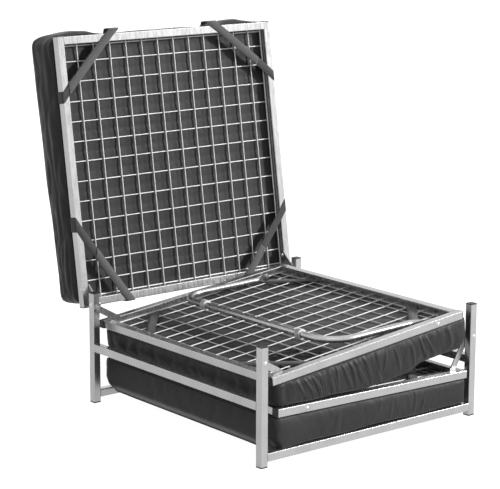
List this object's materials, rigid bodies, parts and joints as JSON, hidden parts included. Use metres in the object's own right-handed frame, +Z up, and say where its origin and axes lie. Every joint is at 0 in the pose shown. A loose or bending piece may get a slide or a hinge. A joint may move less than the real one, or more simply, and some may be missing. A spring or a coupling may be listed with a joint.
{
  "type": "fold-out guest bed",
  "caption": "Guest bed of hinged steel-mesh frames with strapped-on mattresses, folded into a low cube, its middle section standing open.",
  "frame": {"origin": "on the floor, under the centre of the square base", "axes": "+Z up; +X along the bed's length, from the upper wing's hinge posts to the lower wing's; +Y across the bed, towards the hinge of the middle section"},
  "size_m": [0.687, 0.8994, 0.9095],
  "materials": {
    "frame_steel": "silver-grey powder coat, satin",
    "mesh_wire": "silver-grey coated welded wire",
    "bolt_steel": "zinc-plated",
    "black_plastic": "moulded, matt",
    "white_plastic": "moulded, satin",
    "mattress_cover": "close-woven coated polyester, soft sheen",
    "strap_webbing": "ribbed polyester webbing"
  },
  "bodies": {
    "base": {"post_front": "frame_steel", "post_right": "frame_steel", "post_left": "frame_steel", "post_back": "frame_steel", "post_caps": "black_plastic", "feet": "black_plastic", "bottom_rail_front": "frame_steel", "bottom_rail_back": "frame_steel", "mid_rail_left": "frame_steel", "mid_rail_right": "frame_steel", "upper_hinge_pins": "bolt_steel", "lower_hinge_pins": "bolt_steel", "lid_hinge_pins": "bolt_steel", "hinge_nuts": "bolt_steel"},
    "lid": {"lid_rail_left": "frame_steel", "lid_rail_right": "frame_steel", "lid_rail_hinge": "frame_steel", "lid_rail_free": "frame_steel", "lid_mesh": "mesh_wire", "lid_plate_left": "frame_steel", "lid_plate_right": "frame_steel", "lid_plate_screws": "bolt_steel", "lid_plugs": "black_plastic", "lid_mattress": "mattress_cover", "lid_straps": "strap_webbing"},
    "upper_wing": {"upper_rail_front": "frame_steel", "upper_rail_back": "frame_steel", "upper_rail_near": "frame_steel", "upper_rail_far": "frame_steel", "upper_mesh": "mesh_wire", "upper_link_front": "frame_steel", "upper_link_back": "frame_steel", "upper_plugs": "black_plastic", "upper_mattress": "mattress_cover", "upper_straps": "strap_webbing", "upper_leg_pins": "bolt_steel"},
    "upper_leg": {"upper_leg": "frame_steel", "upper_leg_rings": "white_plastic"},
    "lower_wing": {"lower_rail_front": "frame_steel", "lower_rail_back": "frame_steel", "lower_rail_near": "frame_steel", "lower_rail_far": "frame_steel", "lower_mesh": "mesh_wire", "lower_link_front": "frame_steel", "lower_link_back": "frame_steel", "lower_plugs": "black_plastic", "lower_mattress": "mattress_cover", "lower_straps": "strap_webbing", "lower_leg_pins": "bolt_steel"},
    "lower_leg": {"lower_leg": "frame_steel", "lower_leg_rings": "white_plastic"}
  },
  "joints": [
    {"name": "lid_hinge", "type": "hinge", "parent": "base", "child": "lid", "pos_m": [0, 0.33, 0.252], "axis": [1, 0, 0], "range_deg": [0, 98.7]},
    {"name": "upper_wing_fold", "type": "hinge", "parent": "base", "child": "upper_wing", "pos_m": [-0.33, 0, 0.245], "axis": [0, -1, 0], "range_deg": [0, 174]},
    {"name": "upper_leg_fold", "type": "hinge", "parent": "upper_wing", "child": "upper_leg", "pos_m": [0.2062, 0, 0.25209], "axis": [0, 1, 0], "range_deg": [0, 106.5]},
    {"name": "lower_wing_fold", "type": "hinge", "parent": "base", "child": "lower_wing", "pos_m": [0.33, 0, 0.201], "axis": [0, 1, 0], "range_deg": [0, 0.5]},
    {"name": "lower_leg_fold", "type": "hinge", "parent": "lower_wing", "child": "lower_leg", "pos_m": [-0.20583, 0, 0.1192], "axis": [0, -1, 0], "range_deg": [0, 0.4]}
  ],
  "couplings": [
    {"joint": "upper_leg_fold", "follows": "upper_wing_fold", "ratio": 0.6115},
    {"joint": "lower_leg_fold", "follows": "lower_wing_fold", "ratio": 0.6115}
  ]
}
